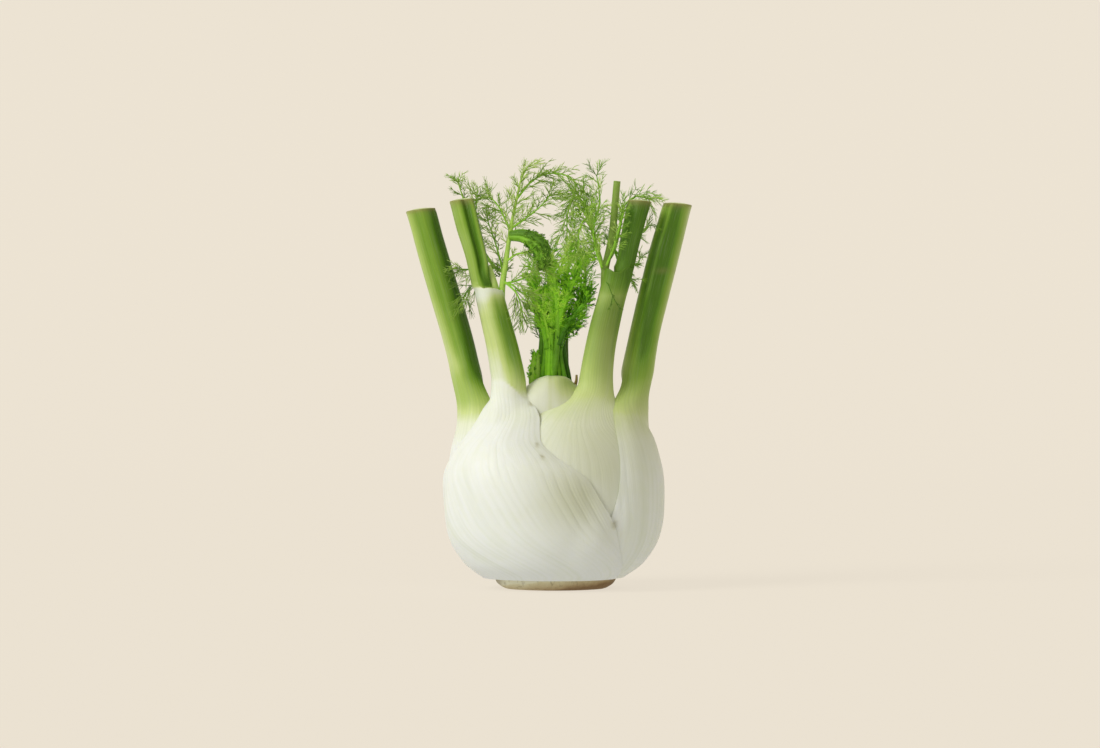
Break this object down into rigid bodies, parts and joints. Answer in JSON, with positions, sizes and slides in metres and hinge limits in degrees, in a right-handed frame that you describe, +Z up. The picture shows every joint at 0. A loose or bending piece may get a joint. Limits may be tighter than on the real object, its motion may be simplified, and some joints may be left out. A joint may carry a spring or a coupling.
{
  "type": "fennel bulb",
  "caption": "Trimmed Florence fennel standing on its cut base: ribbed swollen leaf bases round a heart, cut green stalks in a fan, and feathery fronds between them.",
  "frame": {"origin": "middle of the flat knife cut under the bulb", "axes": "+Z up along the stalks, +X to the right as seen from the front, the front faces -Y, and the stalks fan out in the XZ plane"},
  "size_m": [0.132, 0.0809, 0.1989],
  "materials": {
    "leaf_base": "fresh white leaf base that turns pale green at the neck and deep green along the stalk, satin, finely ribbed",
    "heart": "fresh white to pale green, satin",
    "stem_cut": "dry knife cut, tan with a dark brown rim, matt",
    "frond": "fresh bright to deep green, feathery, slightly glossy"
  },
  "bodies": {
    "root": {"stem_plate": "stem_cut", "heart": "heart", "leaf_right_inner": "leaf_base", "leaf_left_outer": "leaf_base", "leaf_right_outer": "leaf_base", "leaf_left_inner": "leaf_base", "shoots_centre": "frond", "fronds_left": "frond", "fronds_right": "frond"}
  },
  "joints": []
}
